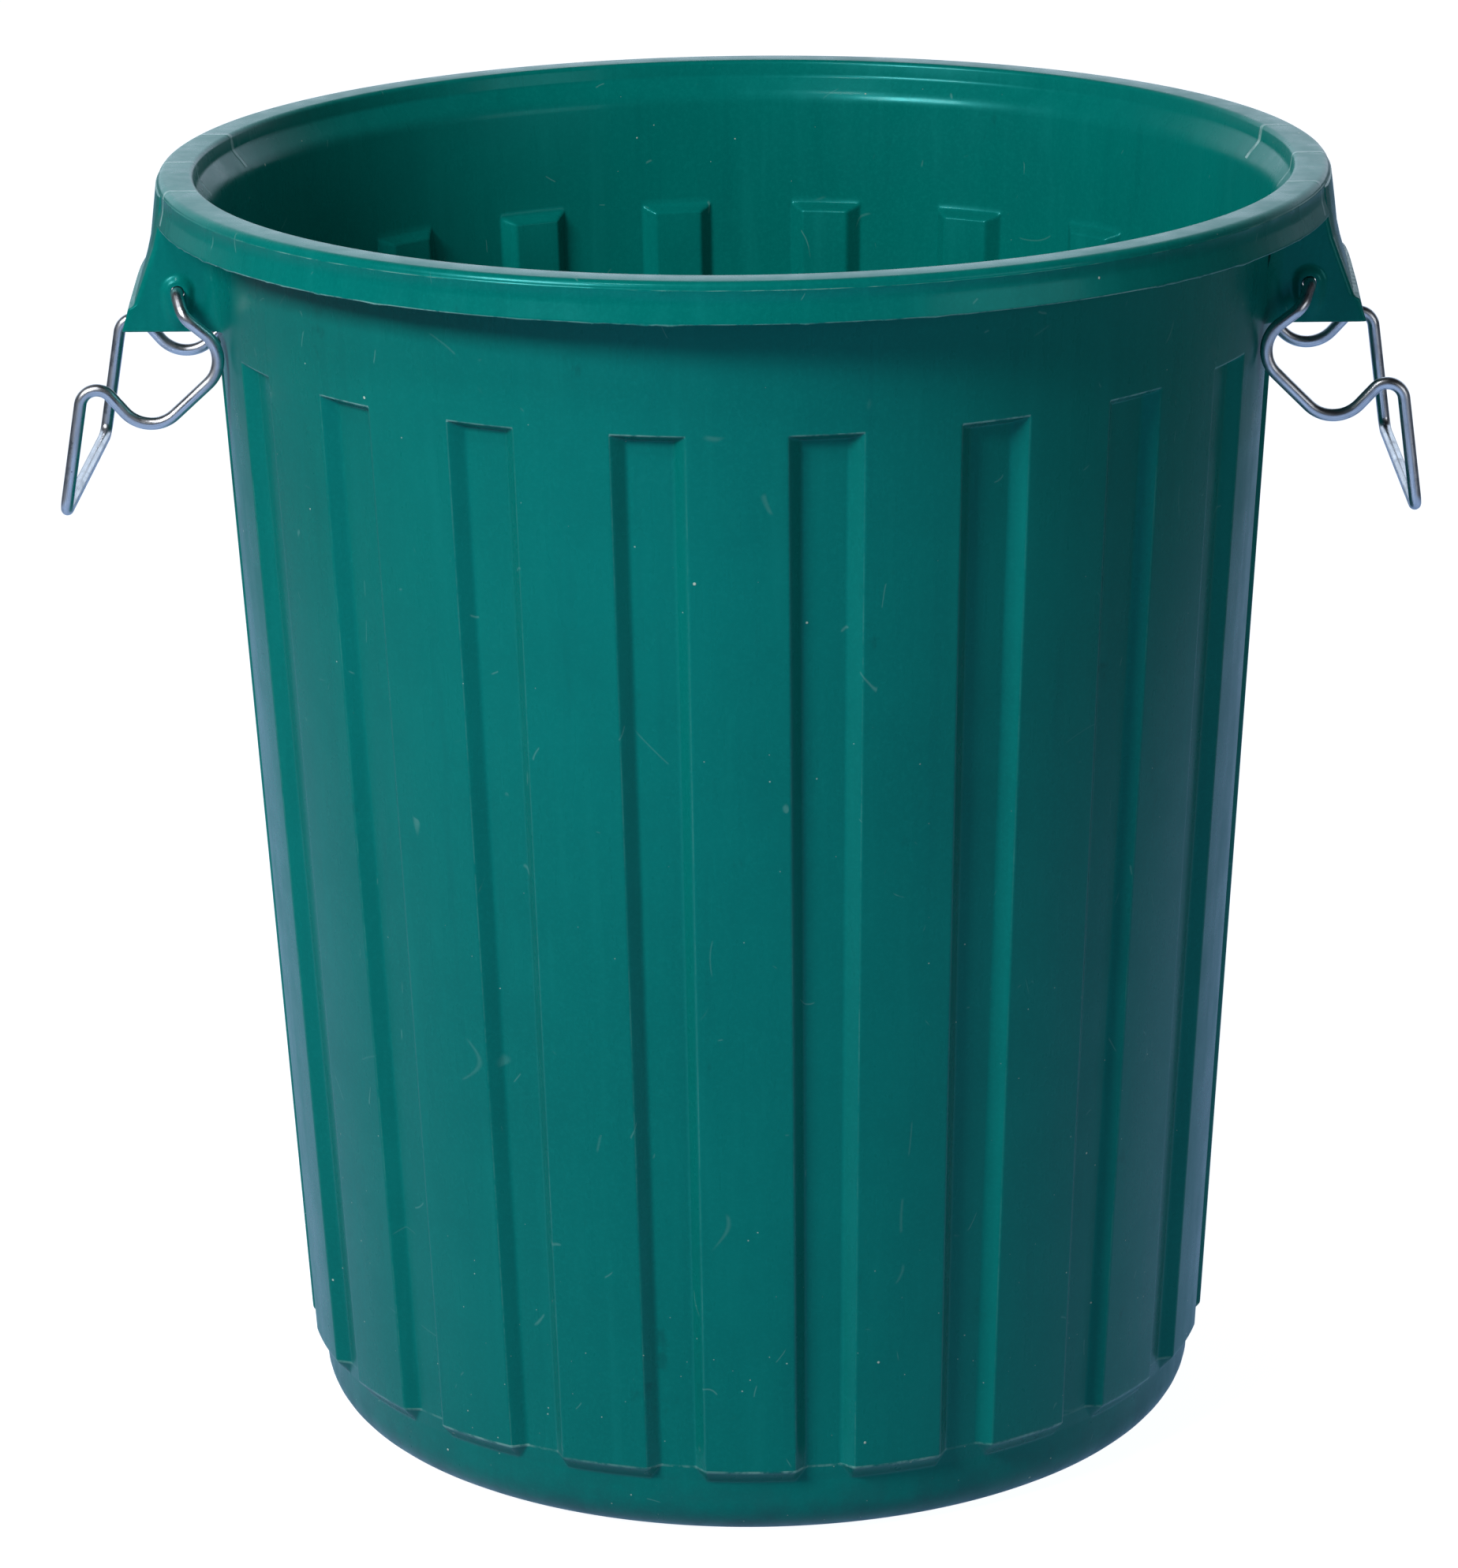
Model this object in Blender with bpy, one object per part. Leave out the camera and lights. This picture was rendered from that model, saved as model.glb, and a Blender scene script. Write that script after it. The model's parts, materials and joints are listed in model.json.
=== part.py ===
"""A 75-litre litter bin: a tapered, fluted plastic tub moulded in one piece with its rim and its two
handle lugs, and two bent wire handles that hang from the lugs and swing up over the rim.

Metres, +Z up. The origin is the centre of the base, on the ground. The handles are at +X and -X.
"""

import math

import bmesh
import bpy
from mathutils import Matrix, Vector

HEIGHT = 0.568
WALL = 0.003

# The tub's wall is a cone, and its panels lie on it between the flutes.
TUB_RADIUS_AT_GROUND = 0.2038
TUB_SLOPE = 0.0562

FLUTES = 20
FLUTE_DEPTH = 0.0055
FLUTE_END_SLOPE = 0.003
PANEL_FOOT = 0.0345
PANEL_TOP = 0.4994
MOUTH_HALF_WIDTH_FOOT = 0.01285
MOUTH_HALF_WIDTH_TOP = 0.0156
CHANNEL_HALF_WIDTH_FOOT = 0.0078
CHANNEL_HALF_WIDTH_TOP = 0.0099
RIB_SPREAD = WALL * math.tan(math.radians(22.5))  # extra half-width of a flute seen from the inside

BASE_RADIUS = 0.1995
BASE_TOP = 0.0275
FOOT_OUTER_RADIUS = 0.182
FOOT_INNER_RADIUS = 0.150
FOOT_RECESS = 0.0025
FLOOR_LIFT = 0.002  # how far the inside's rows lie above the outside's, which keeps sloping walls even

# The rim: a flat top plate that steps out from the wall, with a skirt that hangs down round it.
STEP_FOOT = 0.5475
STEP_RADIUS = 0.2410
STEP_TOP = 0.556
LIP_RADIUS = 0.2396
LIP_ROUNDING = 0.002
LIP_DEPTH = 0.007
RIM_PLATE = 0.003
RIM_TOP_RADIUS = 0.2520
SKIRT_TOP_RADIUS = 0.2550
SKIRT_FOOT_RADIUS = 0.2575
SKIRT_FOOT = 0.551
# The skirt's outside between its foot and the top plate, as (radius beyond SKIRT_TOP_RADIUS, depth).
SKIRT_EDGE = ((0.0005, 0.009), (0, 0.0045), (-0.0009, 0.0012))

# Each lug is a box under the rim, open below. Its outer wall carries the skirt on down and outwards.
LUG_HALF_WIDTH = 0.057
LUG_WALL = 0.0038
# Height, radius of the sides' buried ends, outer wall's X at its middle, and its X at the sides.
LUG_LEVELS = (
    (0.5050, 0.2307, 0.2688, 0.2653),
    (0.5180, 0.2314, 0.2665, 0.2617),
    (0.5280, 0.2320, 0.2624, 0.2580),
    (0.5350, 0.2324, 0.2600, 0.2555),
    (0.5420, 0.2328, 0.2586, 0.2532),
    (0.5510, 0.2345, 0.2579, 0.2515),
    (0.5560, 0.2380, 0.2568, 0.2504),
    (0.5605, 0.2395, 0.2548, 0.2483),
    (0.5665, 0.2400, 0.2530, 0.2465),
)
BOSS_RADIUS = 0.008
BOSS_FACE = 0.059
BOSS_FOOT = 0.0055

# The handles: one round wire each, with its ends turned in through the lug's two sides.
PIVOT_X = 0.243
PIVOT_Z = 0.5227
HOLE_RADIUS = 0.0033
WIRE_RADIUS = 0.00275
WIRE_BEVEL_STEPS = 5
PIN_END_Y = 0.047
PIN_BEND_Y = 0.0628
PIN_BEND = 0.005
ARM_Y = 0.0704
GRIP_BEND = 0.006
# Corners of an arm, outwards and up from the pivot, each with its bend's radius.
ARM_CORNERS = (
    (-0.0035, -0.0080, 0.0094),
    (-0.0257, -0.0258, 0.0143),
    (0.0122, -0.0619, 0.0152),
    (0.0391, -0.0314, 0.0074),
)
GRIP_X = 0.0488
GRIP_Z = -0.0952
# How far each hand-bent wire hangs outwards of that shape.
RIGHT_HANG = math.radians(-1.3)
LEFT_HANG = math.radians(1.3)
BEND_STEP = math.radians(15)


def clear_scene():
    for item in list(bpy.data.objects):
        bpy.data.objects.remove(item, do_unlink=True)


def material(name, colour, roughness, metallic):
    made = bpy.data.materials.new(name)
    made.use_nodes = True
    shader = made.node_tree.nodes["Principled BSDF"]
    shader.inputs["Base Color"].default_value = (*colour, 1)
    shader.inputs["Roughness"].default_value = roughness
    shader.inputs["Metallic"].default_value = metallic
    return made


def add_object(name, data, finish=None):
    item = bpy.data.objects.new(name, data)
    if finish:
        data.materials.append(finish)
    bpy.context.collection.objects.link(item)
    return item


def mesh_from_rings(name, rings):
    """A closed body from rings of points with equal counts. The first and last rings are filled.
    Rings that run anticlockwise seen from above must rise on the body's outside."""
    body = bmesh.new()
    rows = [[body.verts.new(point) for point in ring] for ring in rings]
    for low, high in zip(rows, rows[1:]):
        for i in range(len(low)):
            j = (i + 1) % len(low)
            body.faces.new((low[i], low[j], high[j], high[i]))
    body.faces.new(reversed(rows[0]))
    body.faces.new(rows[-1])
    data = bpy.data.meshes.new(name)
    body.to_mesh(data)
    body.free()
    return data


def tub_radius(z):
    return TUB_RADIUS_AT_GROUND + TUB_SLOPE * z


def tub_ring(radius, z, sink=0.0, spread=0.0):
    """One ring of the tub. sink is how far the flutes' channels lie inside the radius."""
    rise = min(max((z - PANEL_FOOT) / (PANEL_TOP - PANEL_FOOT), 0), 1)
    mouth = MOUTH_HALF_WIDTH_FOOT + rise * (MOUTH_HALF_WIDTH_TOP - MOUTH_HALF_WIDTH_FOOT)
    channel = CHANNEL_HALF_WIDTH_FOOT + rise * (CHANNEL_HALF_WIDTH_TOP - CHANNEL_HALF_WIDTH_FOOT)
    mouth_angle = (mouth + spread) / tub_radius(z)
    channel_angle = (channel + spread) / tub_radius(z)
    half_pitch = math.pi / FLUTES
    points = []
    for flute in range(FLUTES):
        centre = (2 * flute + 1) * half_pitch
        for offset, depth in (
            (-mouth_angle, 0),
            (-channel_angle, sink),
            (channel_angle, sink),
            (mouth_angle, 0),
            (half_pitch, 0),
        ):
            angle = centre + offset
            reach = radius - depth
            points.append((reach * math.cos(angle), reach * math.sin(angle), z))
    return points


def base_fillet(inset):
    """The rounded edge round the base, as (radius, height), from the flat foot up to the wall."""
    outer = BASE_RADIUS - FOOT_OUTER_RADIUS
    steps = 4
    for step in range(steps + 1):
        angle = math.radians(90) * step / steps
        reach = (outer - inset) * math.sin(angle)
        yield FOOT_OUTER_RADIUS + reach, outer - (outer - inset) * math.cos(angle)


def tub_mesh():
    between = [PANEL_FOOT + (PANEL_TOP - PANEL_FOOT) * part / 3 for part in (1, 2)]
    foot_step = FOOT_INNER_RADIUS - FOOT_RECESS  # the foot ring's inner side slopes at 45 degrees

    outside = [
        tub_ring(foot_step, FOOT_RECESS),
        tub_ring(FOOT_INNER_RADIUS, 0),
    ]
    outside += [tub_ring(radius, z) for radius, z in base_fillet(0)]
    outside.append(tub_ring(BASE_RADIUS, BASE_TOP))
    for z in (PANEL_FOOT, *between, PANEL_TOP - FLUTE_END_SLOPE):
        outside.append(tub_ring(tub_radius(z), z, sink=FLUTE_DEPTH))
    outside.append(tub_ring(tub_radius(PANEL_TOP), PANEL_TOP))

    underside = HEIGHT - RIM_PLATE
    rim = [
        tub_ring(radius, z)
        for radius, z in (
            (tub_radius(STEP_FOOT), STEP_FOOT),
            (STEP_RADIUS, STEP_TOP),
            (LIP_RADIUS + WALL, underside),
            (SKIRT_TOP_RADIUS - WALL, underside),
            (SKIRT_FOOT_RADIUS - WALL, SKIRT_FOOT),
            (SKIRT_FOOT_RADIUS, SKIRT_FOOT),
            *((SKIRT_TOP_RADIUS + reach, HEIGHT - depth) for reach, depth in SKIRT_EDGE),
            (RIM_TOP_RADIUS, HEIGHT),
            (LIP_RADIUS + LIP_ROUNDING, HEIGHT),
            (LIP_RADIUS + 0.0006, HEIGHT - 0.0006),
            (LIP_RADIUS, HEIGHT - LIP_ROUNDING),
            (LIP_RADIUS - 0.0011, HEIGHT - LIP_DEPTH),
            (tub_radius(STEP_TOP) - WALL, STEP_TOP - 0.004),
        )
    ]

    rib_top = PANEL_TOP + FLOOR_LIFT
    inside = [tub_ring(tub_radius(rib_top) - WALL, rib_top, spread=RIB_SPREAD)]
    for z in (rib_top - FLUTE_END_SLOPE, *reversed(between), PANEL_FOOT + FLOOR_LIFT):
        inside.append(tub_ring(tub_radius(z) - WALL, z, sink=FLUTE_DEPTH, spread=RIB_SPREAD))
    inside.append(tub_ring(BASE_RADIUS - WALL, BASE_TOP + FLOOR_LIFT))
    inside += [tub_ring(radius, z) for radius, z in reversed(list(base_fillet(WALL)))]
    inside += [
        tub_ring(foot_step + WALL, WALL),
        tub_ring(foot_step + WALL - FOOT_RECESS, WALL + FOOT_RECESS),
    ]
    return mesh_from_rings("bin_shell", outside + rim + inside)


def lug_mesh(name, side):
    """One lug's three walls: a loft of U-shaped sections, open at the top, below and towards the tub.
    The sides' ends are buried in the tub's wall, and the top is buried in the rim."""
    steps = 8
    levels = []
    for z, buried, middle, edge in LUG_LEVELS:
        section = []
        for half_width, inset in ((LUG_HALF_WIDTH, 0), (LUG_HALF_WIDTH - LUG_WALL, LUG_WALL)):
            end = math.sqrt(buried**2 - half_width**2)
            path = [(end, -half_width)]
            for step in range(steps + 1):
                part = 2 * step / steps - 1
                path.append((edge + (middle - edge) * (1 - part**2) - inset, part * half_width))
            path.append((end, half_width))
            section.append([Vector((side * x, side * y, z)) for x, y in path])
        outer, inner = section
        levels.append((outer, inner))

    body = bmesh.new()
    rows = [[[body.verts.new(p) for p in path] for path in level] for level in levels]
    count = len(rows[0][0])
    for i in range(count - 1):
        for (low_out, low_in), (high_out, high_in) in zip(rows, rows[1:]):
            body.faces.new((low_out[i], low_out[i + 1], high_out[i + 1], high_out[i]))
            body.faces.new((low_in[i + 1], low_in[i], high_in[i], high_in[i + 1]))
        for (outer, inner), top in ((rows[0], False), (rows[-1], True)):
            cap = (outer[i], outer[i + 1], inner[i + 1], inner[i])
            body.faces.new(cap if top else reversed(cap))
    for (low_out, low_in), (high_out, high_in) in zip(rows, rows[1:]):
        body.faces.new((low_in[0], low_out[0], high_out[0], high_in[0]))
        body.faces.new((low_out[-1], low_in[-1], high_in[-1], high_out[-1]))
    data = bpy.data.meshes.new(name)
    body.to_mesh(data)
    body.free()
    return data


def boss_mesh(name, side, end):
    """A horseshoe pad on one side of a lug, round the pivot hole and down to the lug's lower edge."""
    steps = 12
    outline = [(-BOSS_RADIUS, LUG_LEVELS[0][0] - PIVOT_Z + 0.0005)]
    for step in range(steps + 1):
        angle = math.radians(180) * (1 - step / steps)
        outline.append((BOSS_RADIUS * math.cos(angle), BOSS_RADIUS * math.sin(angle)))
    outline.append((BOSS_RADIUS, outline[0][1]))
    rings = []
    for y in (LUG_HALF_WIDTH - 0.001, BOSS_FACE):
        rings.append([(side * PIVOT_X + x, end * y, PIVOT_Z + z) for x, z in outline])
    if end < 0:
        rings.reverse()
    return mesh_from_rings(name, rings)


def drill_mesh(name):
    body = bmesh.new()
    bmesh.ops.create_cone(
        body, cap_ends=True, segments=16, radius1=HOLE_RADIUS, radius2=HOLE_RADIUS,
        depth=2 * (BOSS_FACE + 0.004), matrix=Matrix.Rotation(math.radians(90), 4, "X"),
    )
    data = bpy.data.meshes.new(name)
    body.to_mesh(data)
    body.free()
    return data


def combine(target, operation, tool):
    step = target.modifiers.new(f"{operation.lower()} {tool.name}", "BOOLEAN")
    step.operation = operation
    step.object = tool
    tool.hide_render = True
    tool.display_type = "WIRE"


def bin_shell(plastic):
    shell = add_object("bin_shell", tub_mesh(), plastic)
    for side, where in ((1, "right"), (-1, "left")):
        combine(shell, "UNION", add_object(f"lug_{where}", lug_mesh(f"lug_{where}", side)))
        for end, place in ((1, "back"), (-1, "front")):
            name = f"boss_{where}_{place}"
            combine(shell, "UNION", add_object(name, boss_mesh(name, side, end)))
    for side, where in ((1, "right"), (-1, "left")):
        drill = add_object(f"pivot_hole_{where}", drill_mesh(f"pivot_hole_{where}"))
        drill.location = (side * PIVOT_X, 0, PIVOT_Z)
        combine(shell, "DIFFERENCE", drill)
    return shell


def rounded_corner(before, corner, after, radius):
    """Points of the arc that rounds a corner of a wire."""
    back = (before - corner).normalized()
    ahead = (after - corner).normalized()
    turn = math.pi - back.angle(ahead)
    middle = (back + ahead).normalized()
    centre = corner + middle * radius / math.cos(turn / 2)
    start = corner + back * radius * math.tan(turn / 2) - centre
    axis = back.cross(ahead).normalized()
    steps = max(2, math.ceil(turn / BEND_STEP))
    return [centre + Matrix.Rotation(-turn * step / steps, 3, axis) @ start for step in range(steps + 1)]


def handle_path(side, hang):
    """The wire's centre line from one turned-in end to the other, from the pivot."""
    half = [(Vector((0, -PIN_END_Y, 0)), 0), (Vector((0, -PIN_BEND_Y, 0)), PIN_BEND)]
    for x, z, radius in (*ARM_CORNERS, (GRIP_X, GRIP_Z, GRIP_BEND)):
        out = x * math.cos(hang) - z * math.sin(hang)
        up = x * math.sin(hang) + z * math.cos(hang)
        half.append((Vector((side * out, -ARM_Y, up)), radius))
    route = half + [(Vector((p.x, -p.y, p.z)), radius) for p, radius in reversed(half)]
    points = [route[0][0]]
    for (before, _), (corner, radius), (after, _) in zip(route, route[1:], route[2:]):
        points += rounded_corner(before, corner, after, radius)
    points.append(route[-1][0])
    return points


def handle(name, side, hang, steel):
    points = handle_path(side, hang)
    wire = bpy.data.curves.new(name, "CURVE")
    wire.dimensions = "3D"
    wire.bevel_depth = WIRE_RADIUS
    wire.bevel_resolution = WIRE_BEVEL_STEPS
    wire.use_fill_caps = True
    line = wire.splines.new("POLY")
    line.points.add(len(points) - 1)
    for spot, point in zip(line.points, points):
        spot.co = (*point, 1)
    item = add_object(name, wire, steel)
    item.location = (side * PIVOT_X, 0, PIVOT_Z)
    return item


def build():
    clear_scene()
    plastic = material("teal plastic", (0.002, 0.162, 0.138), 0.45, 0)
    steel = material("zinc-plated wire", (0.60, 0.62, 0.66), 0.35, 1)
    bin_shell(plastic)
    handle("handle_right", 1, RIGHT_HANG, steel)
    handle("handle_left", -1, LEFT_HANG, steel)


build()
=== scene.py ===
"""The litter bin's looks: a satin teal plastic moulding and two zinc-plated wire handles."""

import json
import math

import bmesh
import bpy
import numpy as np
from mathutils import Matrix, Vector


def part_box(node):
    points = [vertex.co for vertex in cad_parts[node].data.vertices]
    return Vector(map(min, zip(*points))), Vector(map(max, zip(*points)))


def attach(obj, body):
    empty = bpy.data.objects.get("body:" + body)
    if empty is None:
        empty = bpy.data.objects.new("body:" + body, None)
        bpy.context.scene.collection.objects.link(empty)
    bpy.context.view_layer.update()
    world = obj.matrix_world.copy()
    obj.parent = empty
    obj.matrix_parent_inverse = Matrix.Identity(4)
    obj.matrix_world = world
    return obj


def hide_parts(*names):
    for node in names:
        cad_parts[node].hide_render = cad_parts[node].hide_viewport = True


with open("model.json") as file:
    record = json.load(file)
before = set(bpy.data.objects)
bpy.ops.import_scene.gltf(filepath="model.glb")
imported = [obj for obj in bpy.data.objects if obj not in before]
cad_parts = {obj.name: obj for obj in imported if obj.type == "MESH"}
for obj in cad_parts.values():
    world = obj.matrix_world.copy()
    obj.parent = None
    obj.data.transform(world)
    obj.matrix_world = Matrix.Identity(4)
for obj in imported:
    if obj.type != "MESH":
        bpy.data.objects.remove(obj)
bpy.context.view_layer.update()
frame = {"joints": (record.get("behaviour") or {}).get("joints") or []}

SHELL_LOW, SHELL_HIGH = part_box("bin_shell")
HEIGHT = SHELL_HIGH.z
SKIRT_RADIUS = SHELL_HIGH.y - 0.0002  # leaves room for the moulding flash on its edge
PIVOTS = {joint["child"]: Vector(joint["pos_m"]) for joint in frame["joints"]}

# The tub: panels on a cone, with tapered flutes between them.
WALL = 0.003
TUB_RADIUS_AT_GROUND = 0.2038
TUB_SLOPE = 0.0562
FLUTES = 20
FLUTE_DEPTH = 0.0055
FLUTE_END_SLOPE = 0.003
FLUTE_END_SOFTNESS = 0.12  # rounding at a flute's foot and top, as a share of its depth
PANEL_FOOT = 0.0345
PANEL_TOP = 0.4994
MOUTH_HALF_WIDTHS = (0.01285, 0.0156)
CHANNEL_HALF_WIDTHS = (0.0078, 0.0099)
FOOT_FLARE = 0.7  # how much wider a flute gets for each metre below the panels' feet
RIB_SPREAD = WALL * math.tan(math.radians(22.5))
EDGE_SOFTNESS = 0.13  # rounding of a flute's edges, as a share of its wall's height
EDGE_WEAR = 0.33  # how rubbed a flute's long edges are, where 1 is a bare corner
BASE_RADIUS = 0.1995
BASE_TOP = 0.0275
FOOT_OUTER_RADIUS = 0.182
FOOT_INNER_RADIUS = 0.150
FOOT_RECESS = 0.0025
INSIDE_LIFT = 0.002  # the ribs inside start and end this much higher than the flutes outside
BAND_FOOT = 0.5025

# The rim: a plain band over the flutes, a step, and a skirt with a parting line and flash on its edge.
# The step is also the wall that a lug's sides run into above the tub.
STEP_HEIGHTS = (0.5475, 0.5560, 0.5650)
STEP_RADII = (0.23457, 0.2404, 0.2422)
SKIRT_EDGE_Z = 0.5510
SKIRT_EDGE_BAND = 0.0007  # rows this near the skirt's edge carry the flash
SKIRT_LIP_Z = 0.5523
SKIRT_INSIDE = 0.2530
SKIRT_FACE = 0.2568
FLASH_DEPTH = 0.0006
FLASH_STEPS = 3
FLASH_SEED = 3
PARTING_Z = HEIGHT - 0.0034
PARTING_RIDGE = 0.0002
PARTING_SEED = 5
ROUGH_WAVES = (7, 13, 29, 53, 97, 151)  # how often each wave of an uneven line goes round the bin

# The lugs, from the parting line down: the outer wall's X at its middle and at the lug's sides.
LUG_HALF_WIDTH = 0.0572
LUG_FOOT = 0.505
LUG_WALL = 0.0032
LUG_FILLET = 0.008
LUG_CORNER_BELOW_NOTCH = 0.0010
LUG_CORNER_ABOVE_NOTCH = 0.0027
NOTCH_Z = 0.516
LUG_HEIGHTS = (0.505, 0.516, 0.528, 0.535, 0.542, 0.551, 0.565)
LUG_MIDDLE_X = (0.2672, 0.2651, 0.2618, 0.2598, 0.2583, 0.2574, 0.2556)
LUG_SIDE_X = (0.2664, 0.2630, 0.2585, 0.2559, 0.2533, 0.2511, 0.2492)
LUG_BLEND = 0.0012  # height over which the notch and the pad's edge fade in
LUG_FILLET_STEPS = 10
PAD_RAISE = 0.0016
PAD_TOP_MIDDLE = 0.5256
PAD_TOP_SIDE = 0.5160
BOSS_HEIGHT = 0.0020
BOSS_INNER = 0.0042
BOSS_OUTER = 0.0078
BOSS_LEGS = 0.42  # how much slower the boss fades downwards than upwards
HOLE_RADIUS = 0.0030
DRILL_LENGTH = 0.14
DRILL_SIDES = 40

# The handles' wire: corners of an arm, outwards and up from the pivot, each with its bend's radius.
WIRE_RADIUS = 0.0027
PIN_END_Y = 0.047
PIN_BEND_Y = 0.0628
PIN_BEND = 0.005
ARM_Y = 0.0704
GRIP_BEND = 0.006
ARM_CORNERS = (
    (-0.0035, -0.0080, 0.0094),
    (-0.0257, -0.0258, 0.0143),
    (0.0122, -0.0619, 0.0152),
    (0.0391, -0.0314, 0.0074),
)
GRIP_X = 0.0488
GRIP_Z = -0.0952
HANG = {1: math.radians(-1.3), -1: math.radians(1.3)}  # each handle's turn outwards about its pin
WIRE_SIDES = 20
WIRE_SPACING = 0.004
WIRE_CHAMFER = 0.25  # the cut ends' chamfer: its length as a share of the wire's radius
WIRE_END = 0.8  # and the radius that it leaves
BEND_STEP = math.radians(5)

# The plastic's colours, and where the rim's witness lines are.
TEAL_DEEP = (0.0, 0.166, 0.146, 1)
TEAL = (0.0, 0.188, 0.166, 1)
TEAL_CLOUD = (0.001, 0.142, 0.132, 1)
TEAL_GRAIN = (0.003, 0.225, 0.197, 1)
TEAL_STREAK = (0.004, 0.232, 0.208, 1)
TEAL_SHADED = (0.0, 0.130, 0.118, 1)
# A darker, bluish teal that the tub fades into towards the bottom, in mottled patches
TEAL_DARKER_LOW = (0.012, 0.085, 0.092, 1)
DIRT = (0.002, 0.090, 0.082, 1)
RUBBED = (0.26, 0.54, 0.50, 1)
WITNESS = (0.40, 0.62, 0.62, 1)
CHIPPED = (0.52, 0.66, 0.58, 1)
TEAL_GLOSS = (0.10, 0.95, 1.0, 1)
WITNESS_Y = 0.0640
WITNESS_EDGES = (0.0021, 0.0008)
WITNESS_REACH = 0.20
WITNESS_Z = 0.5530

# The wire's colours.
STEEL_DARK = (0.46, 0.48, 0.52, 1)
STEEL = (0.72, 0.74, 0.80, 1)
STEEL_BRIGHT = (0.90, 0.92, 0.96, 1)
STEEL_DULL = (0.40, 0.41, 0.44, 1)
STEEL_BLOTCH = (0.46, 0.47, 0.50, 1)
STEEL_NICK = (0.045, 0.045, 0.05, 1)

# The stage. The camera sees the floor and the surroundings white; glossy rays see the floor bluish.
FLOOR_REACH = 12
FLOOR_COLOURS = ((0.26, 0.31, 0.38, 1), (0.29, 0.34, 0.41, 1))
FLOOR_WHITE = (0.96, 0.98, 1.0, 1)
FLOOR_GLOW = (0.20, 0.31, 0.52, 1)
WALL_GLOW = (0.74, 0.86, 1.0, 1)
SOFTBOXES = (  # name, place, aim, width, height, power
    ("key", (-1.75, -1.9, 2.10), (0, 0, 0.35), 1.1, 0.7, 73),
    ("high", (-0.75, -1.30, 2.5), (0, 0, 0.5), 0.28, 0.28, 8),
    ("fill", (2.0, -1.7, 0.9), (0, 0, 0.3), 1.4, 1.0, 7),
)
CAMERA_PLACE = (0.0398, -2.4203, 1.0416)
CAMERA_AHEAD = (-0.01951, 0.95382, -0.29976)
CAMERA_ROLL = -0.0131
CAMERA_LENS = 128.81
CAMERA_SENSOR = 36


# ---------------------------------------------------------------- mesh helpers


def grid_mesh(name, points, wrap_rows, wrap_columns, caps, attributes=None):
    """A mesh from a (rows, columns, 3) array. caps fills the first and last rows with one face each."""
    rows, columns = points.shape[:2]
    index = np.arange(rows * columns).reshape(rows, columns)
    if wrap_rows:
        index = np.vstack([index, index[:1]])
    if wrap_columns:
        index = np.hstack([index, index[:, :1]])
    corners = np.stack([index[:-1, :-1], index[:-1, 1:], index[1:, 1:], index[1:, :-1]], axis=-1)
    faces = [tuple(face) for face in corners.reshape(-1, 4).tolist()]
    faces += [tuple(cap) for cap in caps]
    data = bpy.data.meshes.new(name)
    data.from_pydata(points.reshape(-1, 3).tolist(), [], faces)
    for label, values in (attributes or {}).items():
        layer = data.attributes.new(label, "FLOAT", "POINT")
        layer.data.foreach_set("value", np.ascontiguousarray(values, dtype=np.float32).ravel())
    data.shade_smooth()
    data.update()
    return data


def add_piece(name, data, body, finish, replaced):
    piece = bpy.data.objects.new(name, data)
    bpy.context.scene.collection.objects.link(piece)
    piece.data.materials.clear()
    piece.data.materials.append(finish)
    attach(piece, body)
    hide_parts(replaced)
    return piece


def smooth_clamp(value, softness):
    """Clamps to 0..1, with each corner rounded over +-softness."""
    low = np.clip(value + softness, 0, 2 * softness) ** 2 / (4 * softness)
    high = np.clip(1 + softness - value, 0, 2 * softness) ** 2 / (4 * softness)
    middle = np.clip(value, softness, 1 - softness)
    return np.where(value < softness, low, np.where(value > 1 - softness, 1 - high, middle))


def smooth_min(a, b, softness):
    share = np.clip(0.5 + 0.5 * (b - a) / softness, 0, 1)
    return b + (a - b) * share - softness * share * (1 - share)


def smooth_max(a, b, softness):
    return -smooth_min(-a, -b, softness)


def smooth_step(value):
    t = np.clip(value, 0, 1)
    return t * t * (3 - 2 * t)


def rough_line(angle, seed):
    """A repeatable uneven value from -1 to 1 round the bin."""
    rng = np.random.default_rng(seed)
    total = np.zeros_like(angle)
    for count in ROUGH_WAVES:
        total += np.sin(count * angle + rng.uniform(0, 2 * math.pi)) * rng.uniform(0.4, 1.0)
    return total / (0.7 * len(ROUGH_WAVES))


def rounded_outline(corners, steps=4):
    """An open outline in 2-D, from (x, y, radius) corners, with an arc at each corner that has a radius."""
    points = [Vector(corners[0][:2])]
    for before, corner, after in zip(corners, corners[1:], corners[2:]):
        spot = Vector(corner[:2])
        if corner[2] <= 0:
            points.append(spot)
            continue
        back = (Vector(before[:2]) - spot).normalized()
        ahead = (Vector(after[:2]) - spot).normalized()
        turn = math.pi - back.angle(ahead)
        centre = spot + (back + ahead).normalized() * corner[2] / math.cos(turn / 2)
        start = spot + back * corner[2] * math.tan(turn / 2) - centre
        way = 1 if back.cross(ahead) < 0 else -1
        for step in range(steps + 1):
            angle = way * turn * step / steps
            points.append(centre + Matrix.Rotation(angle, 2) @ start)
    points.append(Vector(corners[-1][:2]))
    return points


# ---------------------------------------------------------------- the tub and its rim


def tub_radius(z):
    return TUB_RADIUS_AT_GROUND + TUB_SLOPE * z


def half_widths(z):
    rise = min(max((z - PANEL_FOOT) / (PANEL_TOP - PANEL_FOOT), 0), 1)
    mouth = MOUTH_HALF_WIDTHS[0] + rise * (MOUTH_HALF_WIDTHS[1] - MOUTH_HALF_WIDTHS[0])
    channel = CHANNEL_HALF_WIDTHS[0] + rise * (CHANNEL_HALF_WIDTHS[1] - CHANNEL_HALF_WIDTHS[0])
    return mouth, channel


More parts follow.
